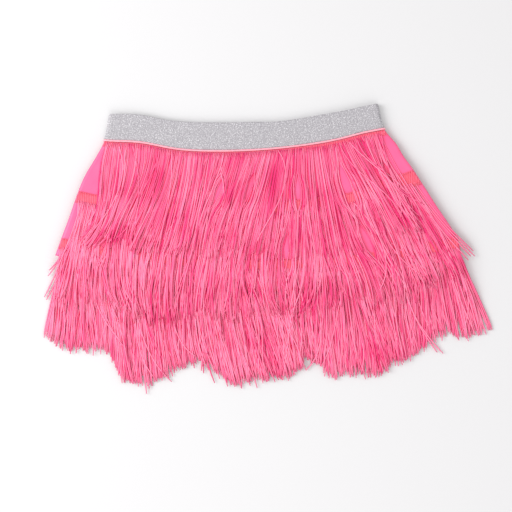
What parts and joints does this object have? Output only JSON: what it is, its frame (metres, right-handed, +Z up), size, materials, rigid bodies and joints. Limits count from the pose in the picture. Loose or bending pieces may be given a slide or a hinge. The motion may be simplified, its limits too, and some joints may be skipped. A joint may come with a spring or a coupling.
{
  "type": "fringe skirt",
  "caption": "Small child's pull-on skirt laid flat: glitter elastic waist, plain pink A-line body and tiers of pink fringe that hang over one another all round.",
  "frame": {"origin": "on the table under the middle of the skirt's overall box, as it lies flat", "axes": "+Z up from the table through the front of the skirt, +X to the right across the skirt as seen from above, +Y from the hem towards the waist"},
  "size_m": [0.3886, 0.2495, 0.0119],
  "materials": {
    "silver_elastic": "knitted elastic with silver glitter yarn",
    "pale_binding": "soft matt rolled edge",
    "hot_pink_cloth": "smooth stretch jersey",
    "pink_fringe": "soft twisted rayon fringe"
  },
  "bodies": {
    "root": {"waistband": "silver_elastic", "waist_binding": "pale_binding", "skirt_front": "hot_pink_cloth", "skirt_back": "hot_pink_cloth", "fringe_front_1": "pink_fringe", "fringe_front_2": "pink_fringe", "fringe_front_3": "pink_fringe", "fringe_back_1": "pink_fringe", "fringe_back_2": "pink_fringe", "fringe_back_3": "pink_fringe"}
  },
  "joints": []
}
